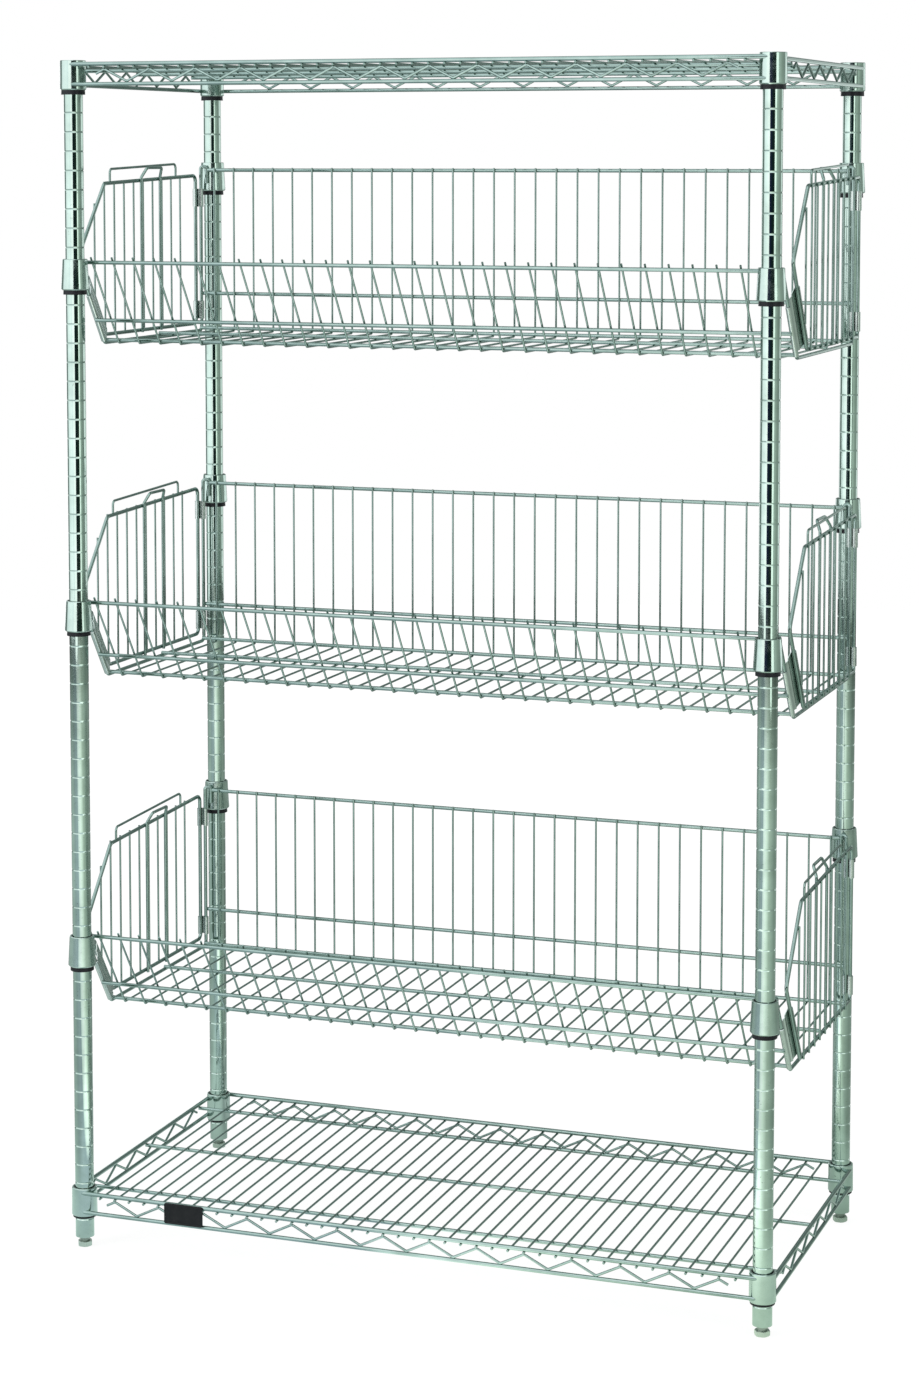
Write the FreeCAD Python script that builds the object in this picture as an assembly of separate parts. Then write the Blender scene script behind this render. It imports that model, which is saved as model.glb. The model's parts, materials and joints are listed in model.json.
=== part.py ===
import FreeCAD, Part
import math
import os

V = FreeCAD.Vector

# Posts: grooved tubes on a rectangular plan, millimetres throughout
post_spacing_x = 948.0
post_spacing_y = 444.0
post_diameter = 25.4
post_wall = 1.2
post_length = 1588.0
groove_pitch = 25.4
groove_depth = 0.5
groove_width = 2.4
cap_thickness = 2.0
cap_plug_length = 14.0
cap_lead = 1.0
cap_lead_length = 2.0

# Levelling feet and the plugs that carry them
pad_across_flats = 18.0
pad_height = 6.6
pad_chamfer = 1.0
stud_diameter = 9.5
stud_length = 34.0
stud_root = 1.0
boss_height = 7.0
boss_top_diameter = 15.4
boss_foot_diameter = 12.6
plug_length = 20.0

# Tapered split sleeves between post and collar
sleeve_top_diameter = 28.6
sleeve_foot_diameter = 31.8
sleeve_inset = 1.0
sleeve_split = 0.8
sleeve_tooth = 0.4
sleeve_draft = 0.03
basket_sleeve_show = 6.0
top_sleeve_show = 6.0
bottom_sleeve_show = 2.0

# Where each tier sits, counted in grooves from the foot of a post
top_shelf_groove = 62
top_basket_groove = 52
middle_basket_groove = 34
lower_basket_groove = 16
bottom_shelf_groove = 2
basket_back_grooves = 5

# Shelf collars and wires
shelf_collar_top_diameter = 34.2
shelf_collar_foot_diameter = 34.8
shelf_collar_height = 39.0
shelf_tooth_drop = 18.0
collar_chamfer = 1.5
rail_offset = 14.0
top_rail_drop = 5.4
bottom_rail_drop = 31.7
top_rail_diameter = 5.8
bottom_rail_diameter = 5.3
deck_wire_diameter = 3.0
deck_pitch = 21.6
deck_end_margin = 28.0
deck_tip = 0.5
support_diameter = 5.0
support_inset = 40.0
truss_diameter = 3.4
truss_bend = 4.5
truss_tail = 12.0
truss_end_margin = 50.0
pitches_per_wave = 3

# Blank plate clipped to the front of the bottom shelf
plate_width = 56.0
plate_height = 28.0
plate_thickness = 2.4
plate_centre_x = -318.0
plate_corner = 2.5

# Basket collars
basket_collar_top_diameter = 33.4
basket_collar_foot_diameter = 37.6
basket_collar_height = 41.0
basket_tooth_drop = 10.0

# Basket mat: one welded sheet of wire, sloped front, flat floor, upright back
heavy_diameter = 5.2
thin_diameter = 2.8
end_diameter = 5.0
thin_pitch = 30.7
thin_end_margin = 12.0
lip_drop = 5.0
lip_tip = 6.5
floor_drop = 112.0
front_slope = 35.0
mid_front_drop = 78.0
mid_floor_setback = 173.0
mid_back_rise = 54.0
back_rail_drop = 11.0
back_tip = 3.5
mat_bend = 4.3
end_bend = 8.0
end_offset = 8.0
hook_bend = 3.6
hook_leg = 24.0
hook_rise = 5.0

# Side panels, in a plane outboard of the mat's end wires
panel_offset = 16.0
panel_lift = 10.0
panel_slope_gap = 22.2
panel_kink_rise = 10.0
panel_shoulder_setback = 122.0
panel_shoulder_rise = 104.0
panel_top_fall = 9.0
panel_rear_gap = 1.4
panel_bend = 9.0
panel_pitch = 30.6
panel_wires = 10
panel_first_wire = 24.0
panel_wire_tip = 2.2
loop_diameter = 3.4
loop_height = 19.0
loop_bend = 6.0
loop_front = 17.0
loop_length = 212.0
hoop_diameter = 4.2
hoop_front = 106.0
hoop_width = 61.0
hoop_height = 16.0
hoop_taper = 7.0
hoop_lean = 6.0
hoop_bend = 5.0

# Sheet metal clips
clip_sheet = 1.0
clip_gap = 0.3
clip_grip = 1.0
corner_clip_height = 26.0
corner_clip_upper = 68.0
corner_clip_lower = 17.0
channel_top_drop = 35.0

# Fits
weld = 0.3
seat = 0.03
slide_fit = 0.05
press = 0.02
cut_margin = 1.0

post_radius = post_diameter / 2
post_bore = post_radius - post_wall
post_foot = pad_height + boss_height
post_top = post_foot + post_length
front_y = -post_spacing_y / 2
rear_y = post_spacing_y / 2
side_x = post_spacing_x / 2
corners = {
    "front_left": V(-side_x, front_y, 0),
    "front_right": V(side_x, front_y, 0),
    "rear_left": V(-side_x, rear_y, 0),
    "rear_right": V(side_x, rear_y, 0),
}


def turned(points):
    """Solid of revolution about Z from (radius, height) points."""
    outline = [V(r, 0, z) for r, z in points]
    face = Part.Face(Part.makePolygon(outline + outline[:1]))
    return face.revolve(V(0, 0, 0), V(0, 0, 1), 360)


def rod(start, end, diameter):
    """Straight round wire."""
    run = end - start
    return Part.makeCylinder(diameter / 2, run.Length, start, run)


def spine(points, bend, closed=False):
    """Polyline with every inner corner rounded to the bend radius."""
    if closed:
        middle = (points[-1] + points[0]) * 0.5
        points = [middle] + points + [middle]
    edges = []
    here = points[0]
    for before, corner, after in zip(points, points[1:], points[2:]):
        back = (before - corner).normalize()
        on = (after - corner).normalize()
        half = back.getAngle(on) / 2
        setback = bend / math.tan(half)
        enter = corner + back * setback
        leave = corner + on * setback
        inward = (back + on).normalize()
        crown = corner + inward * (bend / math.sin(half) - bend)
        if (enter - here).Length > 1e-4:
            edges.append(Part.LineSegment(here, enter).toShape())
        edges.append(Part.Arc(enter, crown, leave).toShape())
        here = leave
    if (points[-1] - here).Length > 1e-4:
        edges.append(Part.LineSegment(here, points[-1]).toShape())
    return Part.Wire(edges)


def bent_rod(points, diameter, bend, closed=False):
    """Round wire bent along a polyline."""
    path = spine(points, bend, closed)
    first = path.Edges[0]
    start = first.valueAt(first.FirstParameter)
    along = first.tangentAt(first.FirstParameter)
    ring = Part.Wire(Part.makeCircle(diameter / 2, start, along))
    return path.makePipeShell([ring], True, False)


def welded(pieces):
    """Wires welded into one piece."""
    return pieces[0].multiFuse(pieces[1:])


def moved(shape, offset):
    copy = shape.copy()
    copy.translate(offset)
    return copy


def mirrored(shape):
    """The same piece for the right-hand side."""
    return shape.mirror(V(0, 0, 0), V(1, 0, 0))


def group(pieces):
    return Part.makeCompound(pieces)


def groove_height(count):
    return post_foot + count * groove_pitch


def make_post():
    """Grooved tube standing on z = 0."""
    points = [(post_bore, 0), (post_radius, 0)]
    for count in range(1, int((post_length - groove_width) / groove_pitch) + 1):
        z = count * groove_pitch
        points.append((post_radius, z - groove_width / 2))
        points.append((post_radius - groove_depth, z))
        points.append((post_radius, z + groove_width / 2))
    points += [(post_radius, post_length), (post_bore, post_length)]
    return turned(points)


def make_cap():
    """Plug with a flange that closes the top of a post."""
    plug = post_bore - press
    return turned([
        (0, post_top - cap_plug_length),
        (plug - cap_lead, post_top - cap_plug_length),
        (plug, post_top - cap_plug_length + cap_lead_length),
        (plug, post_top),
        (post_radius, post_top),
        (post_radius, post_top + cap_thickness / 2),
        (post_radius - cap_thickness / 2, post_top + cap_thickness),
        (0, post_top + cap_thickness),
    ])


def make_plug():
    """Plug pressed into the foot of a post, with a bored conical boss."""
    bore = stud_diameter / 2 + slide_fit
    plug = post_bore - press
    return turned([
        (bore, pad_height),
        (boss_foot_diameter / 2, pad_height),
        (boss_top_diameter / 2, post_foot),
        (plug, post_foot),
        (plug, post_foot + plug_length),
        (bore, post_foot + plug_length),
    ])


def make_foot():
    """Hexagonal levelling pad with its stud."""
    corner = pad_across_flats / math.cos(math.pi / 6) / 2
    ring = [V(corner * math.cos(k * math.pi / 3), corner * math.sin(k * math.pi / 3), 0) for k in range(7)]
    hexagon = Part.Face(Part.makePolygon(ring)).extrude(V(0, 0, pad_height))
    bevel = turned([
        (0, 0),
        (corner - pad_chamfer, 0),
        (corner, pad_chamfer),
        (corner, pad_height - pad_chamfer),
        (corner - pad_chamfer, pad_height),
        (0, pad_height),
    ])
    stud = Part.makeCylinder(stud_diameter / 2, stud_length, V(0, 0, pad_height - stud_root))
    return hexagon.common(bevel).fuse(stud)


def sleeve_radius(below_top, height):
    share = below_top / height
    return (sleeve_top_diameter + share * (sleeve_foot_diameter - sleeve_top_diameter)) / 2


def make_sleeve(collar_height, show, tooth_drop):
    """Two half shells, z = 0 at the top of the collar they carry."""
    top = -sleeve_inset
    foot = -collar_height - show
    height = top - foot
    inner = post_radius + slide_fit
    tooth = inner - slide_fit - sleeve_tooth
    half_tooth = groove_width / 4
    shell = turned([
        (inner + sleeve_draft, foot),
        (sleeve_radius(height, height), foot),
        (sleeve_radius(0, height), top),
        (inner, top),
        (inner, -tooth_drop + half_tooth),
        (tooth, -tooth_drop),
        (inner, -tooth_drop - half_tooth),
    ])
    reach = sleeve_foot_diameter
    slit_foot = V(-reach, -sleeve_split / 2, foot - cut_margin)
    slit = Part.makeBox(2 * reach, sleeve_split, height + 2 * cut_margin, slit_foot)
    return shell.cut(slit)


def make_collar(top_diameter, foot_diameter, height, show):
    """Tapered collar, z = 0 at its top, bored to seat on its sleeve."""
    length = height + show - sleeve_inset
    taper = (sleeve_foot_diameter - sleeve_top_diameter) / 2 / length
    top_bore = sleeve_radius(0, length) + slide_fit - sleeve_inset * taper
    foot_bore = top_bore + height * taper
    slope = (foot_diameter - top_diameter) / 2 / height
    return turned([
        (foot_bore, -height),
        (foot_diameter / 2 - collar_chamfer, -height),
        (foot_diameter / 2 - collar_chamfer * slope, collar_chamfer - height),
        (top_diameter / 2, -collar_chamfer / 2),
        (top_diameter / 2 - collar_chamfer / 2, 0),
        (top_bore, 0),
    ])


def make_envelope(top_diameter, foot_diameter, height):
    """Solid as wide as a collar, for trimming the wires that end on it."""
    return turned([
        (0, -height),
        (foot_diameter / 2 + press, -height),
        (top_diameter / 2 + press, 0),
        (0, 0),
    ])


def basket_collar_radius(below_top):
    share = below_top / basket_collar_height
    widening = basket_collar_foot_diameter - basket_collar_top_diameter
    return (basket_collar_top_diameter + share * widening) / 2


def wave(first, last, low, high, half, place):
    """Zigzag wire: crests every two half waves, with a tail past each end crest."""
    spare = 0
    for step in range(8):
        steepness = math.atan2(high - low + 2 * spare, half)
        spare = truss_bend / math.cos(steepness) - truss_bend
    fall = truss_tail * math.tan(steepness)
    points = [place(first - truss_tail, high + spare - fall)]
    count = int(round((last - first) / half))
    for k in range(count + 1):
        points.append(place(first + k * half, high + spare if k % 2 == 0 else low - spare))
    points.append(place(last + truss_tail, high + spare - fall))
    return bent_rod(points, truss_diameter, truss_bend)


def make_shelf():
    """Wire shelf, z = 0 at the top of its collars."""
    top_z = -top_rail_drop
    bottom_z = -bottom_rail_drop
    deck_z = top_z - (top_rail_diameter + deck_wire_diameter) / 2 + weld
    support_z = deck_z - (deck_wire_diameter + support_diameter) / 2 + weld
    side_top_z = support_z + (support_diameter + top_rail_diameter) / 2 + seat
    rail_y = rear_y + rail_offset
    rail_x = side_x + rail_offset
    envelope = make_envelope(shelf_collar_top_diameter, shelf_collar_foot_diameter, shelf_collar_height)
    posts = group([moved(envelope, at) for at in corners.values()])

    count = int((post_spacing_x - 2 * deck_end_margin) / deck_pitch) + 1
    first_x = -(count - 1) * deck_pitch / 2
    tip_y = rail_y + top_rail_diameter / 2 + deck_tip
    wires = []
    for k in range(count):
        x = first_x + k * deck_pitch
        wires.append(rod(V(x, -tip_y, deck_z), V(x, tip_y, deck_z), deck_wire_diameter))
    for y in (front_y + support_inset, 0, rear_y - support_inset):
        wires.append(rod(V(-rail_x, y, support_z), V(rail_x, y, support_z), support_diameter))
    rails = []
    for y in (-rail_y, rail_y):
        rail = rod(V(-side_x, y, top_z), V(side_x, y, top_z), top_rail_diameter)
        rails.append(rail.cut(posts))
    deck = welded(rails + wires)

    half = pitches_per_wave * deck_pitch / 2
    crest = deck_z - (deck_wire_diameter + truss_diameter) / 2 - seat
    trough = bottom_z + (bottom_rail_diameter + truss_diameter) / 2 - weld
    waves = (count - 3) // pitches_per_wave
    start = -waves * pitches_per_wave * deck_pitch / 2
    if (count - 1 - waves * pitches_per_wave) % 2:
        start -= deck_pitch / 2
    end = start + waves * pitches_per_wave * deck_pitch
    front_wave = wave(start, end, trough, crest, half, lambda s, z: V(s, -rail_y, z))
    front_rail = rod(V(-side_x, -rail_y, bottom_z), V(side_x, -rail_y, bottom_z), bottom_rail_diameter)
    front_truss = welded([front_rail.cut(posts), front_wave])
    rear_truss = front_truss.mirror(V(0, 0, 0), V(0, 1, 0))

    side_crest = side_top_z - (top_rail_diameter + truss_diameter) / 2 + weld
    side_waves = int((post_spacing_y - 2 * truss_end_margin) / (2 * half))
    if side_waves % 2 == 0:
        side_waves -= 1
    side_end = side_waves * half
    side_wave = wave(-side_end, side_end, trough, side_crest, half, lambda s, z: V(-rail_x, s, z))
    side_rails = []
    for z, diameter in ((side_top_z, top_rail_diameter), (bottom_z, bottom_rail_diameter)):
        rail = rod(V(-rail_x, front_y, z), V(-rail_x, rear_y, z), diameter)
        side_rails.append(rail.cut(posts))
    left_truss = welded(side_rails + [side_wave])
    return {
        "deck": deck,
        "front_truss": front_truss,
        "rear_truss": rear_truss,
        "left_truss": left_truss,
        "right_truss": mirrored(left_truss),
    }


# Basket profile in the YZ plane, z = 0 at the top of the front collars
slope = math.radians(front_slope)
overlap_heavy = (heavy_diameter + thin_diameter) / 2 - weld
clear_heavy = (heavy_diameter + thin_diameter) / 2 + seat
back_collar_z = basket_back_grooves * groove_pitch
lip_z = -lip_drop
lip_y = front_y + basket_collar_radius(lip_drop) + heavy_diameter / 2 + 2 * seat
mat_y = lip_y + overlap_heavy / math.cos(slope)
floor_z = lip_z - floor_drop
fold_y = mat_y + floor_drop * math.tan(slope)
back_rail_z = back_collar_z - back_rail_drop
back_rail_gap = basket_collar_radius(back_rail_drop + heavy_diameter / 2) + 2 * seat
back_rail_y = rear_y - back_rail_gap - heavy_diameter / 2
back_y = back_rail_y - overlap_heavy
end_x = side_x + end_offset
panel_x = side_x + panel_offset


def on_slope(z):
    """Depth of the front wires' plane at a height."""
    return mat_y + (lip_z - z) * math.tan(slope)


def fold_setback(bend):
    return bend * math.tan((math.pi / 2 - slope) / 2)


def up_slope(distance):
    """Point on the front plane, a distance up from the fold."""
    return fold_y - distance * math.sin(slope), floor_z + distance * math.cos(slope)


def thin_places():
    half = int((side_x - thin_end_margin) / thin_pitch)
    return [k * thin_pitch for k in range(-half, half + 1)]


def cross_wire(y, z, reach=None):
    """Heavy wire across the full width of the mat."""
    x = end_x if reach is None else reach
    return rod(V(-x, y, z), V(x, y, z), heavy_diameter)


def both_sides(shape):
    return [shape, mirrored(shape)]


def middle_front_wire(reach, diameter):
    """Heavy wire across the sloped front, on its outer face."""
    z = lip_z - mid_front_drop
    y = on_slope(z) - overlap_heavy * math.cos(slope)
    z -= overlap_heavy * math.sin(slope)
    return rod(V(-reach, y, z), V(reach, y, z), diameter)


def make_front_grid():
    """Lip, middle wire, thin wires and the two end wires of the sloped front."""
    foot_y, foot_z = up_slope(fold_setback(mat_bend))
    tip_z = lip_z + lip_tip
    wires = [cross_wire(lip_y, lip_z), middle_front_wire(end_x, heavy_diameter)]
    for x in thin_places():
        wires.append(rod(V(x, on_slope(tip_z), tip_z), V(x, foot_y, foot_z), thin_diameter))
    end_y, end_z = up_slope(fold_setback(end_bend))
    hook_z = lip_z + heavy_diameter / 4
    collar_y = front_y + math.sqrt(basket_collar_radius(-hook_z) ** 2 - end_offset ** 2)
    end = bent_rod([
        V(-end_x, collar_y + end_diameter / 4, hook_z),
        V(-end_x, on_slope(hook_z) + end_bend / 2, hook_z),
        V(-end_x, on_slope(hook_z - end_bend), hook_z - end_bend),
        V(-end_x, end_y, end_z),
    ], end_diameter, end_bend / 3)
    envelope = make_envelope(basket_collar_top_diameter, basket_collar_foot_diameter, basket_collar_height)
    end = end.cut(moved(envelope, corners["front_left"]))
    return welded(wires + both_sides(end))


def make_floor_grid():
    """Thin wires with both folds, three heavy wires and the two end wires."""
    def run(x, bend):
        near_y, near_z = up_slope(fold_setback(bend))
        folds = [V(x, fold_y, floor_z), V(x, back_y, floor_z)]
        return [V(x, near_y, near_z)] + folds + [V(x, back_y, floor_z + bend)]

    heavy_z = floor_z + overlap_heavy
    near_y = fold_y + (clear_heavy - overlap_heavy * math.sin(slope)) / math.cos(slope)
    wires = [cross_wire(near_y, heavy_z)]
    wires.append(cross_wire(fold_y + mid_floor_setback, heavy_z))
    wires.append(cross_wire(back_y - clear_heavy, heavy_z))
    pattern = bent_rod(run(0, mat_bend), thin_diameter, mat_bend)
    for x in thin_places():
        wires.append(moved(pattern, V(x, 0, 0)))
    end = bent_rod(run(-end_x, end_bend), end_diameter, end_bend)
    return welded(wires + both_sides(end))


def make_back_grid():
    """Upright thin wires, middle wire, top rail and the hooked end wires."""
    wires = [cross_wire(back_rail_y, back_rail_z, side_x + heavy_diameter / 2)]
    wires.append(cross_wire(back_rail_y, floor_z + mid_back_rise))
    top = back_rail_z + back_tip
    for x in thin_places():
        wires.append(rod(V(x, back_y, floor_z + mat_bend), V(x, back_y, top), thin_diameter))
    hook_z = back_rail_z + hook_rise
    leg_z = hook_z - hook_leg
    leg_y = rear_y - basket_collar_radius(back_collar_z - leg_z) - end_diameter / 2 - 2 * seat
    end = bent_rod([
        V(-end_x, back_y, floor_z + end_bend),
        V(-end_x, back_y, hook_z),
        V(-side_x, leg_y, hook_z),
        V(-side_x, leg_y, leg_z),
    ], end_diameter, hook_bend)
    return welded(wires + both_sides(end))


# Side panel outline, in depth and height
panel_foot_z = floor_z + panel_lift
panel_rear_y = back_y - panel_rear_gap
panel_slope_shift = panel_slope_gap / math.cos(slope)
kink_z = lip_z + panel_kink_rise
shoulder_y = front_y + panel_shoulder_setback
shoulder_z = lip_z + panel_shoulder_rise
panel_outline = [
    (on_slope(panel_foot_z) + panel_slope_shift, panel_foot_z),
    (on_slope(kink_z) + panel_slope_shift, kink_z),
    (shoulder_y, shoulder_z),
    (panel_rear_y, shoulder_z + panel_top_fall),
    (panel_rear_y, panel_foot_z),
]


def between(y, start, end):
    """Height of a straight edge of the panel at a depth."""
    return start[1] + (y - start[0]) / (end[0] - start[0]) * (end[1] - start[1])


def panel_top(y):
    foot, kink, shoulder, rear, heel = panel_outline
    return between(y, shoulder, rear) if y > shoulder[0] else between(y, kink, shoulder)


def panel_bottom(y):
    foot, kink = panel_outline[:2]
    return foot[1] if y > foot[0] else between(y, foot, kink)


def panel_wire(count, diameter):
    """Upright wire on the outer face of the left panel, counted from the front."""
    x = -panel_x - overlap_heavy
    y = shoulder_y - panel_first_wire + count * panel_pitch
    low = panel_bottom(y) - panel_wire_tip
    return rod(V(x, y, low), V(x, y, panel_top(y) + panel_wire_tip), diameter)


def make_left_panel():
    """Closed frame with upright thin wires on its outer face."""
    frame = bent_rod([V(-panel_x, y, z) for y, z in panel_outline], heavy_diameter, panel_bend, closed=True)
    return welded([frame] + [panel_wire(k, thin_diameter) for k in range(panel_wires)])


def make_left_loops():
    """Long low rail and the taller hoop that stand above the panel's top edge."""
    reach = (heavy_diameter / 2 + seat) / math.cos(math.atan2(panel_top_fall, panel_rear_y - shoulder_y))
    near = shoulder_y + loop_front
    far = near + loop_length
    rail = bent_rod([
        V(-panel_x, near, panel_top(near) + reach),
        V(-panel_x, near, panel_top(near) + loop_height),
        V(-panel_x, far, panel_top(far) + loop_height),
        V(-panel_x, far, panel_top(far) + reach),
    ], loop_diameter, loop_bend)
    x = -panel_x + (heavy_diameter + hoop_diameter) / 2 + seat
    near = shoulder_y + hoop_front
    far = near + hoop_width
    crown = panel_top(far) + hoop_height
    shoulder = panel_top(far) + heavy_diameter / 2
    hoop = bent_rod([
        V(x, near, panel_foot_z - heavy_diameter / 2),
        V(x, near, shoulder),
        V(x + hoop_lean, near + hoop_taper, crown),
        V(x + hoop_lean, far - hoop_taper, crown),
        V(x, far, shoulder),
        V(x, far, panel_foot_z - heavy_diameter / 2),
    ], hoop_diameter, hoop_bend)
    return [rail, hoop]


def gripping_strip(first, second, along, length, open_side):
    """Sheet clip folded round two parallel wires, open on one side."""
    across = second - first
    width = across.Length
    across.normalize()
    up = along.cross(across).normalize()
    if up.dot(open_side) < 0:
        up = up * -1

    def place(u, v):
        return first + across * u + up * v

    def stadium(radius):
        edges = [
            Part.LineSegment(place(0, radius), place(width, radius)).toShape(),
            Part.Arc(place(width, radius), place(width + radius, 0), place(width, -radius)).toShape(),
            Part.LineSegment(place(width, -radius), place(0, -radius)).toShape(),
            Part.Arc(place(0, -radius), place(-radius, 0), place(0, radius)).toShape(),
        ]
        return Part.Face(Part.Wire(edges))

    inner = heavy_diameter / 2 + clip_gap
    outer = inner + clip_sheet
    mouth = [(clip_grip, 0), (width - clip_grip, 0), (width - clip_grip, 2 * outer), (clip_grip, 2 * outer)]
    mouth = [place(u, v) for u, v in mouth]
    opening = Part.Face(Part.makePolygon(mouth + mouth[:1]))
    section = stadium(outer).cut(stadium(inner)).cut(opening)
    return section.Faces[0].extrude(along * length)


def make_left_corner_clips():
    """Two short clips that hold the panel's rear edge to the mat's end wire."""
    clips = []
    for z in (lip_z + corner_clip_upper, floor_z + corner_clip_lower):
        first = V(-end_x, back_y, z)
        second = V(-panel_x, panel_rear_y, z)
        clips.append(gripping_strip(first, second, V(0, 0, 1), corner_clip_height, V(0, -1, 0)))
    return clips


def make_left_channel():
    """Long clip down the sloped front edge, notched where wires cross it."""
    down = V(0, math.sin(slope), -math.cos(slope))
    square = V(0, math.cos(slope), math.sin(slope))
    top_z = lip_z - channel_top_drop
    first = V(-end_x, on_slope(top_z), top_z)
    second = first + square * panel_slope_gap + V(end_x - panel_x, 0, 0)
    interior = math.pi / 2 + slope
    stop = panel_bend / math.tan(interior / 2)
    panel_end = (second.z - panel_foot_z) / math.cos(slope) - stop
    mat_end = (first.z - floor_z) / math.cos(slope) - fold_setback(end_bend)
    strip = gripping_strip(first, second, down, min(panel_end, mat_end), V(1, 0, 0))
    notches = [middle_front_wire(end_x + clip_gap, heavy_diameter + 2 * clip_gap)]
    notches += [panel_wire(k, thin_diameter + 2 * clip_gap) for k in range(panel_wires)]
    return strip.cut(notches)


def make_basket():
    """Every piece of a basket, z = 0 at the top of its front collars."""
    left_panel = make_left_panel()
    loops = make_left_loops()
    clips = make_left_corner_clips()
    channel = make_left_channel()
    return {
        "front_grid": make_front_grid(),
        "floor_grid": make_floor_grid(),
        "back_grid": make_back_grid(),
        "left_panel": left_panel,
        "right_panel": mirrored(left_panel),
        "side_loops": group(loops + [mirrored(piece) for piece in loops]),
        "corner_clips": group(clips + [mirrored(piece) for piece in clips]),
        "channel_clips": group(both_sides(channel)),
    }


def make_name_plate():
    """Blank rounded plate in front of the truss, z = 0 at the collar tops."""
    left = plate_centre_x - plate_width / 2
    right = plate_centre_x + plate_width / 2
    top = -top_rail_drop + top_rail_diameter / 2
    face_y = front_y - rail_offset - top_rail_diameter / 2 - deck_tip - seat
    corner_points = [V(left, face_y, top), V(right, face_y, top),
                     V(right, face_y, top - plate_height), V(left, face_y, top - plate_height)]
    outline = spine(corner_points, plate_corner, closed=True)
    return Part.Face(outline).extrude(V(0, -plate_thickness, 0))


nodes = {}
post = make_post()
cap = make_cap()
plug = make_plug()
foot = make_foot()
for name, at in corners.items():
    nodes["post_" + name] = moved(post, at + V(0, 0, post_foot))
    nodes["foot_" + name] = moved(foot, at)
nodes["post_caps"] = group([moved(cap, at) for at in corners.values()])
nodes["foot_inserts"] = group([moved(plug, at) for at in corners.values()])

shelf = make_shelf()
for tier, groove, show in (("top_shelf", top_shelf_groove, top_sleeve_show),
                           ("bottom_shelf", bottom_shelf_groove, bottom_sleeve_show)):
    level = V(0, 0, groove_height(groove) + shelf_tooth_drop)
    sleeve = make_sleeve(shelf_collar_height, show, shelf_tooth_drop)
    collar = make_collar(shelf_collar_top_diameter, shelf_collar_foot_diameter, shelf_collar_height, show)
    nodes[tier + "_sleeves"] = group([moved(sleeve, at + level) for at in corners.values()])
    nodes[tier + "_collars"] = group([moved(collar, at + level) for at in corners.values()])
    for piece in ("deck", "front_truss", "rear_truss", "left_truss", "right_truss"):
        nodes[tier + "_" + piece] = moved(shelf[piece], level)
plate_level = V(0, 0, groove_height(bottom_shelf_groove) + shelf_tooth_drop)
nodes["name_plate"] = moved(make_name_plate(), plate_level)

basket = make_basket()
sleeve = make_sleeve(basket_collar_height, basket_sleeve_show, basket_tooth_drop)
collar = make_collar(basket_collar_top_diameter, basket_collar_foot_diameter,
                     basket_collar_height, basket_sleeve_show)
for tier, groove in (("top_basket", top_basket_groove),
                     ("middle_basket", middle_basket_groove),
                     ("lower_basket", lower_basket_groove)):
    level = V(0, 0, groove_height(groove) + basket_tooth_drop)
    seats = []
    for name, at in corners.items():
        rise = back_collar_z if name.startswith("rear") else 0
        seats.append(at + level + V(0, 0, rise))
    nodes[tier + "_sleeves"] = group([moved(sleeve, at) for at in seats])
    nodes[tier + "_collars"] = group([moved(collar, at) for at in seats])
    for piece, shape in basket.items():
        nodes[tier + "_" + piece] = moved(shape, level)

os.makedirs("parts", exist_ok=True)
for name, shape in nodes.items():
    shape.exportStep("parts/" + name + ".step")
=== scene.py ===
import bmesh
import bpy
import json
import math
from mathutils import Matrix, Vector


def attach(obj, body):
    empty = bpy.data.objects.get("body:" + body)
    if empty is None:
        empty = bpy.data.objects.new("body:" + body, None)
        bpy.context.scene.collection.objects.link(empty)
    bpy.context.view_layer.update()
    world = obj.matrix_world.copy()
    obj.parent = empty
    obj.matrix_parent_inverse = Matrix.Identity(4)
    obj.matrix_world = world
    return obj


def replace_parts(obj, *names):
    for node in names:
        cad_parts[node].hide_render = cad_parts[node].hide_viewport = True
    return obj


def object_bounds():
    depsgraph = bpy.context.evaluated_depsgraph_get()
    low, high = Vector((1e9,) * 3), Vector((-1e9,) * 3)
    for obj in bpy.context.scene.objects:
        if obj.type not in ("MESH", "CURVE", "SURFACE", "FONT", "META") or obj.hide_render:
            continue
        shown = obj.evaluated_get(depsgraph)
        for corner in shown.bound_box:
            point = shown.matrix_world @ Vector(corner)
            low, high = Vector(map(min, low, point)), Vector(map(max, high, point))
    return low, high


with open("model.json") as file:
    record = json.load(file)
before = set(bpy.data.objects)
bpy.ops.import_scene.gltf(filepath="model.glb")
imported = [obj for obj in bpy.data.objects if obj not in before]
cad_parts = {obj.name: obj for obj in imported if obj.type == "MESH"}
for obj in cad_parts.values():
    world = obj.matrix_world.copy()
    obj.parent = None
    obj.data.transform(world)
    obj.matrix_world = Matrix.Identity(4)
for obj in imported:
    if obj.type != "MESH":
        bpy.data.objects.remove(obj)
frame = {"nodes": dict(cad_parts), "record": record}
cad_low, cad_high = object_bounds()
MM = 0.001

# Camera, fitted to the posts in the photograph
CAMERA_AT = Vector((1.3817, -3.8842, 1.4785))
CAMERA_YAW = math.radians(19.855)
CAMERA_PITCH = math.radians(4.891)
CAMERA_LENS = 78.846
CAMERA_SENSOR = 36.0
CAMERA_SHIFT = (0.0049, -0.2)


# Shader helpers


def node_tree(owner):
    """An emptied node tree of a material or the world."""
    owner.use_nodes = True
    owner.node_tree.nodes.clear()
    return owner.node_tree


def add(tree, kind, **settings):
    """A new node, with its attributes and its input sockets set by name."""
    node = tree.nodes.new(kind)
    for name, value in settings.items():
        if hasattr(node, name):
            setattr(node, name, value)
        else:
            node.inputs[name.replace("_", " ")].default_value = value
    return node


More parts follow.
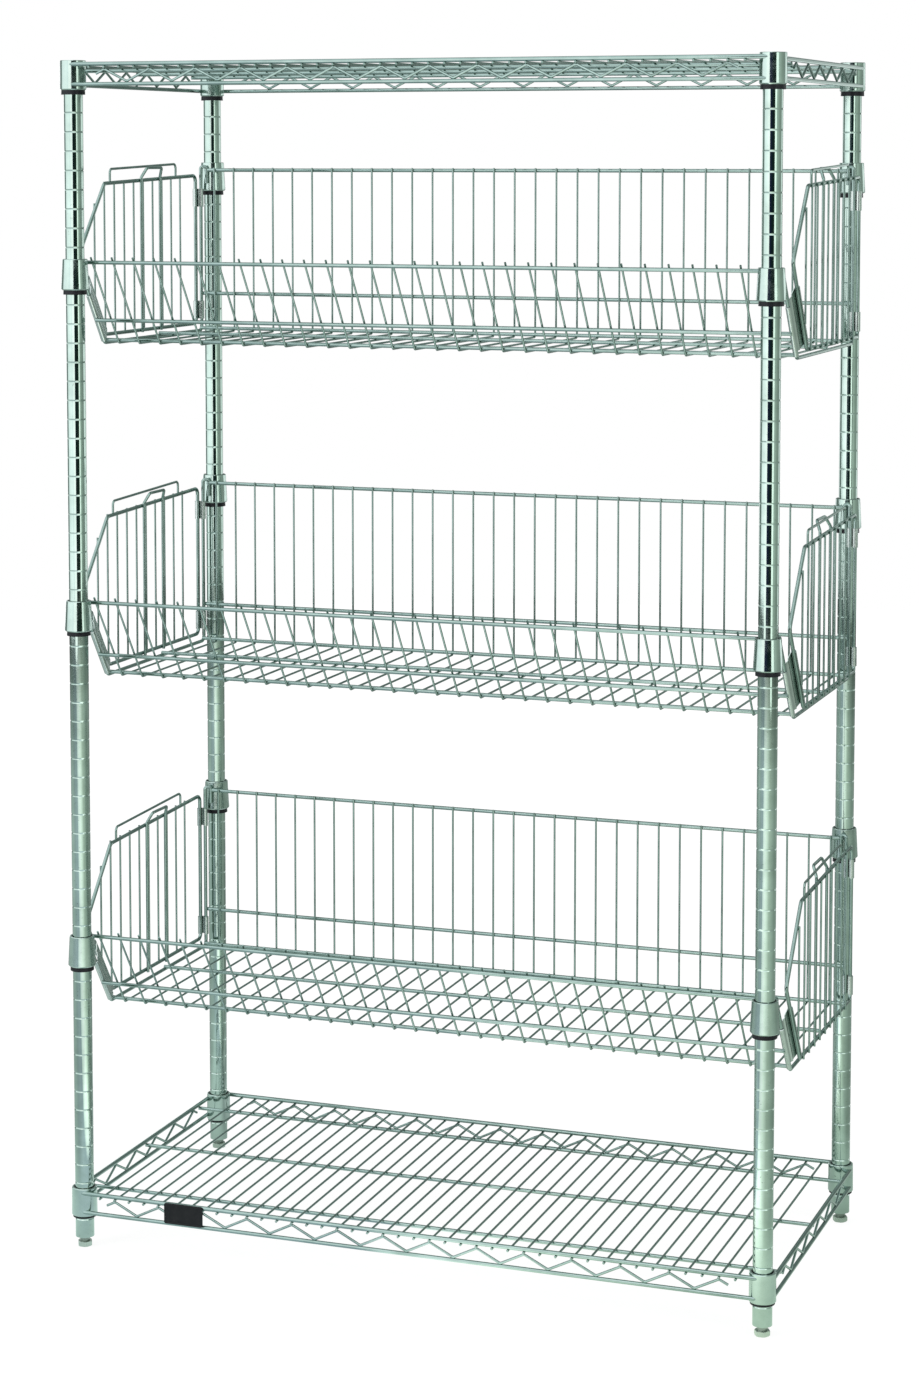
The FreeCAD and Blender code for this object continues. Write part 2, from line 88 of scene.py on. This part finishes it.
def feed(tree, socket, value):
    """Link another node's output to a socket, or set its number or colour."""
    if isinstance(value, bpy.types.NodeSocket):
        tree.links.new(value, socket)
    elif isinstance(value, tuple):
        socket.default_value = (*value, 1)
    else:
        socket.default_value = value


def math_node(tree, operation, *values):
    """Result of an operation on outputs or numbers."""
    node = add(tree, "ShaderNodeMath", operation=operation)
    for socket, value in zip(node.inputs, values):
        feed(tree, socket, value)
    return node.outputs[0]


def ramp(tree, value, stops):
    """Colour ramp from (position, colour) stops; a number stands for a grey."""
    node = tree.nodes.new("ShaderNodeValToRGB")
    while len(node.color_ramp.elements) < len(stops):
        node.color_ramp.elements.new(1.0)
    for element, (position, colour) in zip(node.color_ramp.elements, stops):
        element.position = position
        grey = isinstance(colour, (int, float))
        element.color = (colour, colour, colour, 1) if grey else (*colour, 1)
    tree.links.new(value, node.inputs[0])
    return node.outputs[0]


def stretched(tree, scale=(1, 1, 1)):
    """Coordinates in metres from the object's origin, scaled along each axis."""
    place = tree.nodes.new("ShaderNodeTexCoord")
    mapping = add(tree, "ShaderNodeMapping", Scale=scale)
    tree.links.new(place.outputs["Object"], mapping.inputs["Vector"])
    return mapping.outputs[0]


def noise(tree, vector, scale, detail=2.0, roughness=0.5):
    """Noise from 0 to 1, with so many cells to a unit of the coordinates."""
    node = add(tree, "ShaderNodeTexNoise", Scale=scale, Detail=detail, Roughness=roughness)
    tree.links.new(vector, node.inputs["Vector"])
    return node.outputs["Fac"]


def mix_colour(tree, share, first, second, blend="MIX"):
    """Two colours mixed by a share; each of the three is an output or a fixed value."""
    node = add(tree, "ShaderNodeMix", data_type="RGBA", blend_type=blend)
    for name, value in (("Factor", share), ("A", first), ("B", second)):
        feed(tree, node.inputs[name], value)
    return node.outputs["Result"]


def mix_shader(tree, share, first, second):
    """Two shaders mixed by a share."""
    node = tree.nodes.new("ShaderNodeMixShader")
    for socket, output in zip(node.inputs, (share, first.outputs[0], second.outputs[0])):
        tree.links.new(output, socket)
    return node


def raised(tree, shader, height, strength, distance):
    """Bump a shader's surface by a height, over a distance in metres."""
    bump = add(tree, "ShaderNodeBump", Strength=strength, Distance=distance)
    tree.links.new(height, bump.inputs["Height"])
    tree.links.new(bump.outputs[0], shader.inputs["Normal"])


def finish_tree(tree, shader, kind="ShaderNodeOutputMaterial"):
    """Wire a shader to the output of its tree."""
    out = tree.nodes.new(kind)
    tree.links.new(shader.outputs[0], out.inputs[0])


# Materials; marks on the surfaces are given in noise cells per metre

CLOUDS = 28.0
PITS = 330.0
PIT_PATCHES = 16.0
PIT_COLOUR = (0.16, 0.19, 0.17)
RIPPLE = 420.0
HANDLING_MARKS = 60.0
SPARK_GRAIN = 2600.0
PLASTIC_IOR = 1.48

# Bright and dull tone, least and most roughness, gloss streaks along each axis, strength of the pits
PLATED = {
    "post_chrome": ((0.435, 0.535, 0.49), (0.343, 0.43, 0.387), 0.03, 0.11, (900, 900, 6), 0.55),
    "collar_chrome": ((0.44, 0.535, 0.495), (0.352, 0.435, 0.40), 0.06, 0.18, (90, 90, 90), 0.5),
    "wire_chrome": ((0.292, 0.38, 0.354), (0.218, 0.295, 0.27), 0.04, 0.12, (160, 160, 160), 0.0),
    "clip_steel": ((0.50, 0.55, 0.53), (0.40, 0.45, 0.425), 0.14, 0.30, (120, 120, 120), 0.0),
    "foot_zinc": ((0.52, 0.58, 0.52), (0.40, 0.46, 0.41), 0.20, 0.40, (140, 140, 140), 0.0),
    "insert_zinc": ((0.34, 0.38, 0.35), (0.22, 0.26, 0.23), 0.28, 0.48, (140, 140, 140), 0.0),
}
# Main tone and tone of the marks, least and most roughness
MOULDED = {
    "sleeve_black": ((0.005, 0.005, 0.008), (0.014, 0.014, 0.018), 0.32, 0.5),
    "plate_black": ((0.005, 0.005, 0.006), (0.014, 0.014, 0.015), 0.3, 0.46),
    "cap_grey": ((0.30, 0.33, 0.32), (0.22, 0.25, 0.24), 0.35, 0.55),
}


def plated(name, bright, dull, smooth, rough, streaks, pits):
    """Bright plated steel: cloudy tone, drawn streaks in the gloss, a faint ripple, dark pits."""
    material = bpy.data.materials.new(name)
    tree = node_tree(material)
    shader = add(tree, "ShaderNodeBsdfPrincipled", Metallic=1.0)
    clouds = noise(tree, stretched(tree), CLOUDS, detail=4.0, roughness=0.6)
    tone = mix_colour(tree, ramp(tree, clouds, [(0.36, 0.0), (0.7, 1.0)]), bright, dull)
    specks = noise(tree, stretched(tree), PITS, detail=1.0)
    patches = noise(tree, stretched(tree), PIT_PATCHES)
    pitted = math_node(tree, "MULTIPLY", ramp(tree, specks, [(0.70, 0.0), (0.74, pits)]),
                       ramp(tree, patches, [(0.42, 0.0), (0.62, 1.0)]))
    tree.links.new(mix_colour(tree, pitted, tone, PIT_COLOUR), shader.inputs["Base Color"])
    drawn = noise(tree, stretched(tree, streaks), 1.0, detail=3.0)
    gloss = ramp(tree, drawn, [(0.3, smooth), (0.75, rough)])
    tree.links.new(gloss, shader.inputs["Roughness"])
    raised(tree, shader, noise(tree, stretched(tree), RIPPLE), strength=0.06, distance=0.0002)
    finish_tree(tree, shader)
    return material


def moulded(name, main, marked, smooth, rough):
    """Moulded plastic with a fine spark-eroded grain and handling marks."""
    material = bpy.data.materials.new(name)
    tree = node_tree(material)
    shader = add(tree, "ShaderNodeBsdfPrincipled", IOR=PLASTIC_IOR, Specular_IOR_Level=0.25)
    marks = noise(tree, stretched(tree), HANDLING_MARKS, detail=5.0, roughness=0.65)
    share = ramp(tree, marks, [(0.45, 0.0), (0.8, 1.0)])
    tree.links.new(mix_colour(tree, share, main, marked), shader.inputs["Base Color"])
    gloss = ramp(tree, marks, [(0.3, smooth), (0.7, rough)])
    tree.links.new(gloss, shader.inputs["Roughness"])
    grain = noise(tree, stretched(tree), SPARK_GRAIN, detail=1.0)
    raised(tree, shader, grain, strength=0.25, distance=0.0001)
    finish_tree(tree, shader)
    return material


materials = {slot: plated(slot, *look) for slot, look in PLATED.items()}
materials.update({slot: moulded(slot, *look) for slot, look in MOULDED.items()})
slot_of = {row["node"]: row["material_slot"] for row in frame["record"]["subparts"]}
for name, node in frame["nodes"].items():
    node.data.materials.clear()
    node.data.materials.append(materials[slot_of[name]])


# Pieces made here

FOLD_ANGLE = math.radians(40)


def node_box(name):
    """Lowest and highest corner of a node of the frame."""
    node = frame["nodes"][name]
    axes = list(zip(*(node.matrix_world @ Vector(corner) for corner in node.bound_box)))
    return Vector([min(axis) for axis in axes]), Vector([max(axis) for axis in axes])


def loft(form, rings):
    """Faces between closed rings of vertices, and over the first and the last ring."""
    for first, second in zip(rings, rings[1:]):
        for k in range(len(first)):
            form.faces.new((first[k - 1], first[k], second[k], second[k - 1]))
    form.faces.new(rings[0])
    form.faces.new(rings[-1])


def finished(form, name, body, slot):
    """Object from a bmesh: outward normals, smooth but for its folds, riding on a body."""
    bmesh.ops.recalc_face_normals(form, faces=form.faces)
    mesh = bpy.data.meshes.new(name)
    form.to_mesh(mesh)
    form.free()
    for face in mesh.polygons:
        face.use_smooth = True
    mesh.set_sharp_from_angle(angle=FOLD_ANGLE)
    mesh.materials.append(materials[slot])
    piece = bpy.data.objects.new(name, mesh)
    bpy.context.scene.collection.objects.link(piece)
    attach(piece, body)
    return piece


# Sheet channels that hold the side panels to the sloped fronts of the baskets

# Tops of the front collars, which the channels are placed from; the rear collars stand higher
BASKET_LEVELS = {"top_basket": 1.3444, "middle_basket": 0.8872, "lower_basket": 0.43}
FRONT_SLOPE = math.radians(35)
CHANNEL_TOP = Vector((482.0, -173.36, -40.0)) * MM
CHANNEL_STEP = 8.0 * MM
CHANNEL_GAP = 22.2 * MM
CHANNEL_LENGTH = 89.8 * MM
CHANNEL_GRIP = 3.9 * MM
CHANNEL_SHEET = 1.0 * MM
CHANNEL_WAIST = 2.5 * MM
CHANNEL_CREASE = 0.11
CHANNEL_SLANT = 11.0 * MM


def channel_section(width, steps=10):
    """Closed outline of a sheet folded round two wires and creased between them."""
    def skin(radius, waist):
        line = []
        for k in range(steps + 1):
            angle = math.pi / 2 + math.pi * k / steps
            line.append((radius * math.cos(angle), radius * math.sin(angle)))
        for k in range(1, 3 * steps):
            share = k / (3 * steps)
            near = min(abs(share - 0.5) / CHANNEL_CREASE, 1)
            dip = (1 + math.cos(math.pi * near)) / 2
            line.append((width * share, -radius + (radius - waist) * dip))
        for k in range(steps + 1):
            angle = -math.pi / 2 + math.pi * k / steps
            line.append((width + radius * math.cos(angle), radius * math.sin(angle)))
        return line

    outer = skin(CHANNEL_GRIP, CHANNEL_WAIST)
    inner = skin(CHANNEL_GRIP - CHANNEL_SHEET, CHANNEL_WAIST - CHANNEL_SHEET)
    return outer + inner[::-1]


def add_channel(form, side, level, stations=12):
    """Channel on the left (-1) or right (1), its top end cut on the slant."""
    first = Vector((side * CHANNEL_TOP.x, CHANNEL_TOP.y, level + CHANNEL_TOP.z))
    down = Vector((0, math.sin(FRONT_SLOPE), -math.cos(FRONT_SLOPE)))
    square = Vector((0, math.cos(FRONT_SLOPE), math.sin(FRONT_SLOPE)))
    spread = Vector((side * CHANNEL_STEP, 0, 0)) + square * CHANNEL_GAP
    across = spread.normalized()
    inward = down.cross(across) * side
    rings = []
    for k in range(stations + 1):
        share = k / stations
        ring = []
        for u, v in channel_section(spread.length):
            slant = CHANNEL_SLANT * (1 - u / spread.length) * (1 - share)
            ring.append(form.verts.new(first + across * u + inward * v
                                       + down * (CHANNEL_LENGTH * share + slant)))
        rings.append(ring)
    loft(form, rings)


for basket, level in BASKET_LEVELS.items():
    form = bmesh.new()
    for side in (-1, 1):
        add_channel(form, side, level)
    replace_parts(finished(form, basket + "_channels", basket, "clip_steel"), basket + "_channel_clips")


# Rounded ends of the deck wires, under the front and rear rails of the shelves

# Tops of the collars, which the wires are placed from
SHELF_LEVELS = {"top_shelf": 1.6064, "bottom_shelf": 0.0824}
DECK_FIRST = Vector((-442.8, 238.5, -9.5)) * MM
DECK_PITCH = 21.6 * MM
DECK_WIRES = 42
WIRE_END = 1.8 * MM

for shelf, level in SHELF_LEVELS.items():
    form = bmesh.new()
    height = level + DECK_FIRST.z
    for k in range(DECK_WIRES):
        for side in (-1, 1):
            at = Vector((DECK_FIRST.x + k * DECK_PITCH, side * DECK_FIRST.y, height))
            bmesh.ops.create_icosphere(form, subdivisions=2, radius=WIRE_END,
                                       matrix=Matrix.Translation(at))
    finished(form, shelf + "_wire_ends", shelf, "wire_chrome")


# Blank plate on the bottom shelf: rounded edges and a bare field sunk inside a rim

PLATE_LOW, PLATE_HIGH = node_box("name_plate")
PLATE_CORNER = 2.5 * MM
PLATE_LEAST_CORNER = 0.5 * MM
# From the back edge over the rim to the field: how far in from the edge, how far behind the front
PLATE_STEPS = [(0.0, 2.4), (0.0, 0.7), (0.2, 0.2), (0.7, 0.0), (1.7, 0.0), (2.1, 0.15), (2.3, 0.5)]


def plate_outline(inset, depth, steps=8):
    """Rounded outline, so far in from the edge and so far behind the front, mm."""
    inset, depth = inset * MM, depth * MM
    radius = max(PLATE_CORNER - inset, PLATE_LEAST_CORNER)
    line = []
    for turn, right, upper in ((0, 1, 1), (1, 0, 1), (2, 0, 0), (3, 1, 0)):
        x = PLATE_HIGH.x - inset - radius if right else PLATE_LOW.x + inset + radius
        z = PLATE_HIGH.z - inset - radius if upper else PLATE_LOW.z + inset + radius
        for k in range(steps + 1):
            angle = math.pi / 2 * (turn + k / steps)
            line.append((x + radius * math.cos(angle), PLATE_LOW.y + depth,
                         z + radius * math.sin(angle)))
    return line


form = bmesh.new()
loft(form, [[form.verts.new(at) for at in plate_outline(*step)] for step in PLATE_STEPS])
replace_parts(finished(form, "bare_plate", "bottom_shelf", "plate_black"), "name_plate")


# Studio: floor, white background, reflected walls and flats, lamps

FLOOR_RADIUS = 6.0
FLOOR_DROP = 0.0005
FLOOR_PAPER = (0.90, 0.91, 0.90, 1)
FLOOR_WHITE = (0.46, 0.46, 0.46)
FLOOR_GLOW = 2.3
WALL_RADIUS = 12.0
WALL_CENTRE = (0, 0, 0.8)
MIRRORED_GLOW = 2.0
FLAT_LOW = 0.5
FLAT_HIGH = 2.4
# Place, width and height, power
LAMPS = {
    "key_left": ((-2.6, -2.6, 2.6), (1.6, 2.2), 70),
    "fill_right": ((3.2, -1.0, 2.2), (1.2, 2.0), 30),
    "top": ((0, 0, 4.2), (2.4, 1.6), 60),
}

# What the metal mirrors, by bearing: a full turn from behind the object, the camera at one half
FLOOR_TONES = [
    (0.0, (0.15, 0.175, 0.17)),
    (0.05, (0.32, 0.36, 0.35)),
    (0.10, (0.20, 0.235, 0.225)),
    (0.16, (0.33, 0.39, 0.365)),
    (0.25, (0.37, 0.44, 0.42)),
    (0.30, (0.31, 0.37, 0.38)),
    (0.36, (0.36, 0.42, 0.45)),
    (0.395, (0.33, 0.39, 0.43)),
    (0.415, (0.80, 0.87, 0.84)),
    (0.46, (0.98, 1.0, 0.98)),
    (0.50, (0.90, 0.98, 0.88)),
    (0.535, (0.72, 0.79, 0.71)),
    (0.58, (0.45, 0.52, 0.445)),
    (0.66, (0.33, 0.395, 0.345)),
    (0.74, (0.23, 0.28, 0.245)),
    (0.83, (0.25, 0.29, 0.265)),
    (0.90, (0.13, 0.155, 0.14)),
    (0.95, (0.26, 0.295, 0.28)),
    (1.0, (0.15, 0.175, 0.17)),
]
WALL_TONES = [
    (0.0, (0.07, 0.085, 0.08)),
    (0.025, (0.10, 0.12, 0.115)),
    (0.035, (0.74, 0.78, 0.79)),
    (0.09, (0.78, 0.82, 0.83)),
    (0.10, (0.10, 0.12, 0.115)),
    (0.19, (0.15, 0.185, 0.175)),
    (0.22, (0.80, 0.84, 0.86)),
    (0.34, (0.93, 0.96, 0.97)),
    (0.395, (0.82, 0.87, 0.90)),
    (0.41, (0.012, 0.015, 0.045)),
    (0.49, (0.006, 0.012, 0.014)),
    (0.598, (0.010, 0.022, 0.014)),
    (0.61, (0.32, 0.38, 0.335)),
    (0.65, (0.32, 0.38, 0.335)),
    (0.70, (0.23, 0.275, 0.24)),
    (0.76, (0.20, 0.24, 0.215)),
    (0.795, (0.20, 0.235, 0.22)),
    (0.805, (0.72, 0.76, 0.75)),
    (0.845, (0.75, 0.79, 0.78)),
    (0.86, (0.15, 0.18, 0.17)),
    (0.89, (0.09, 0.11, 0.10)),
    (0.91, (0.52, 0.57, 0.55)),
    (0.955, (0.56, 0.60, 0.59)),
    (0.97, (0.08, 0.095, 0.09)),
    (1.0, (0.07, 0.085, 0.08)),
]
CEILING_TONES = [
    (0.0, (0.15, 0.18, 0.17)),
    (0.10, (0.20, 0.24, 0.23)),
    (0.16, (0.62, 0.67, 0.68)),
    (0.40, (0.80, 0.84, 0.86)),
    (0.58, (0.72, 0.77, 0.76)),
    (0.66, (0.27, 0.315, 0.295)),
    (0.86, (0.15, 0.18, 0.17)),
    (1.0, (0.15, 0.18, 0.17)),
]
# Light on the mirrored floor and white of the seen floor, by share of the floor's radius
FLOOR_LIGHT = [(0.02, 0.9), (0.06, 1.0), (0.125, 1.0), (0.16, 0.72), (0.26, 0.7), (0.45, 0.8),
               (0.6, 0.75), (1.0, 0.1)]
FLOOR_FADE = [(0.1, 0.86), (0.5, 1.0)]
# Where the walls turn into the ceiling, by height of the direction
CEILING_EDGE = [(0.17, 0.0), (0.27, 1.0)]


def bearing_share(tree, vector):
    """Bearing about the object as a share of a full turn, one half towards the camera."""
    turn = add(tree, "ShaderNodeVectorRotate", rotation_type="Z_AXIS",
               Angle=-math.atan2(CAMERA_AT.y, CAMERA_AT.x))
    tree.links.new(vector, turn.inputs["Vector"])
    axes = tree.nodes.new("ShaderNodeSeparateXYZ")
    tree.links.new(turn.outputs[0], axes.inputs[0])
    bearing = math_node(tree, "ARCTAN2", axes.outputs["Y"], axes.outputs["X"])
    return math_node(tree, "MULTIPLY_ADD", bearing, 1 / math.tau, 0.5)


def studio_floor():
    """Pale floor that keeps a faint shadow and turns into plain white away from the object."""
    bpy.ops.mesh.primitive_circle_add(vertices=96, radius=FLOOR_RADIUS, fill_type="NGON",
                                      location=(0, 0, -FLOOR_DROP))
    floor = bpy.context.object
    floor.name = "floor"
    material = bpy.data.materials.new("floor")
    tree = node_tree(material)
    path = tree.nodes.new("ShaderNodeLightPath")
    mirrored = math_node(tree, "MAXIMUM", path.outputs["Is Glossy Ray"],
                         path.outputs["Is Transmission Ray"])
    place = tree.nodes.new("ShaderNodeTexCoord")
    away = add(tree, "ShaderNodeVectorMath", operation="LENGTH")
    tree.links.new(place.outputs["Object"], away.inputs[0])
    distance = math_node(tree, "MULTIPLY", away.outputs["Value"], 1 / FLOOR_RADIUS)
    white = math_node(tree, "MULTIPLY", path.outputs["Is Camera Ray"],
                      ramp(tree, distance, FLOOR_FADE))
    # Painted light: as the metal mirrors it, the floor glows in bright and dark bands by bearing,
    # weaker away from the object
    mirrored_floor_light = ramp(tree, bearing_share(tree, place.outputs["Object"]), FLOOR_TONES)
    lit = mix_colour(tree, 1.0, mirrored_floor_light, ramp(tree, distance, FLOOR_LIGHT), blend="MULTIPLY")
    glow = add(tree, "ShaderNodeEmission", Strength=FLOOR_GLOW)
    tree.links.new(mix_colour(tree, mirrored, FLOOR_WHITE, lit), glow.inputs["Color"])
    diffuse = add(tree, "ShaderNodeBsdfDiffuse", Color=FLOOR_PAPER)
    share = math_node(tree, "MAXIMUM", white, mirrored)
    finish_tree(tree, mix_shader(tree, share, diffuse, glow))
    floor.data.materials.append(material)


def white_world():
    """White behind the object, soft even light on it."""
    world = bpy.data.worlds.new("studio")
    bpy.context.scene.world = world
    tree = node_tree(world)
    path = tree.nodes.new("ShaderNodeLightPath")
    seen = math_node(tree, "MAXIMUM", path.outputs["Is Camera Ray"], path.outputs["Is Glossy Ray"])
    seen = math_node(tree, "MAXIMUM", seen, path.outputs["Is Transmission Ray"])
    even = add(tree, "ShaderNodeBackground", Color=(0.95, 1.0, 0.98, 1), Strength=0.55)
    white = add(tree, "ShaderNodeBackground", Color=(1, 1, 1, 1), Strength=1.0)
    finish_tree(tree, mix_shader(tree, seen, even, white), "ShaderNodeOutputWorld")


def only_mirrored(piece):
    """Leave a piece of the studio to be seen in the metal alone."""
    for flag in ("visible_camera", "visible_diffuse", "visible_transmission", "visible_shadow",
                 "visible_volume_scatter"):
        setattr(piece, flag, False)


def studio_flat(name, first, second, colour):
    """Upright bright card near the object, from one floor point to another."""
    mesh = bpy.data.meshes.new(name)
    corners = [(*first, FLAT_LOW), (*second, FLAT_LOW), (*second, FLAT_HIGH), (*first, FLAT_HIGH)]
    mesh.from_pydata(corners, [], [(0, 1, 2, 3)])
    card = bpy.data.objects.new(name, mesh)
    bpy.context.scene.collection.objects.link(card)
    only_mirrored(card)
    material = bpy.data.materials.new(name)
    tree = node_tree(material)
    glow = add(tree, "ShaderNodeEmission", Color=(*colour, 1), Strength=MIRRORED_GLOW)
    finish_tree(tree, glow)
    mesh.materials.append(material)


def studio_walls():
    """Round wall of pale and dark flats under a soft ceiling."""
    bpy.ops.mesh.primitive_uv_sphere_add(segments=48, ring_count=24, radius=WALL_RADIUS,
                                         location=WALL_CENTRE)
    wall = bpy.context.object
    wall.name = "studio_walls"
    only_mirrored(wall)
    material = bpy.data.materials.new("studio_walls")
    tree = node_tree(material)
    place = tree.nodes.new("ShaderNodeTexCoord")
    direction = add(tree, "ShaderNodeVectorMath", operation="NORMALIZE")
    tree.links.new(place.outputs["Object"], direction.inputs[0])
    axes = tree.nodes.new("ShaderNodeSeparateXYZ")
    tree.links.new(direction.outputs[0], axes.inputs[0])
    bearing = bearing_share(tree, direction.outputs[0])
    overhead = ramp(tree, axes.outputs["Z"], CEILING_EDGE)
    colour = mix_colour(tree, overhead, ramp(tree, bearing, WALL_TONES),
                        ramp(tree, bearing, CEILING_TONES))
    glow = add(tree, "ShaderNodeEmission", Strength=MIRRORED_GLOW)
    tree.links.new(colour, glow.inputs["Color"])
    finish_tree(tree, glow)
    wall.data.materials.append(material)


def lamp(name, at, size, power):
    """Soft lamp at the object; the metal mirrors the bright flats of the walls in its place."""
    data = bpy.data.lights.new(name, "AREA")
    data.shape = "RECTANGLE"
    data.size, data.size_y = size
    data.energy = power
    light = bpy.data.objects.new(name, data)
    light.location = at
    aim = (cad_low + cad_high) / 2 - Vector(at)
    light.rotation_euler = aim.to_track_quat("-Z", "Y").to_euler()
    light.visible_glossy = False
    bpy.context.scene.collection.objects.link(light)


def photo_camera():
    """Camera with the place and framing of the photograph."""
    data = bpy.data.cameras.new("camera")
    data.lens = CAMERA_LENS
    data.sensor_width = CAMERA_SENSOR
    data.shift_x, data.shift_y = CAMERA_SHIFT
    camera = bpy.data.objects.new("camera", data)
    camera.location = CAMERA_AT
    camera.rotation_euler = (math.pi / 2 - CAMERA_PITCH, 0, CAMERA_YAW)
    bpy.context.scene.collection.objects.link(camera)
    bpy.context.scene.camera = camera


studio_floor()
white_world()
studio_walls()
studio_flat("flat_left", (-1.0, -2.05), (-0.09, -2.18), (1.0, 1.0, 1.0))
studio_flat("flat_right", (1.56, -1.54), (1.92, -1.07), (0.92, 1.0, 0.93))
for name, settings in LAMPS.items():
    lamp(name, *settings)
photo_camera()
bpy.context.scene.view_settings.view_transform = "Standard"
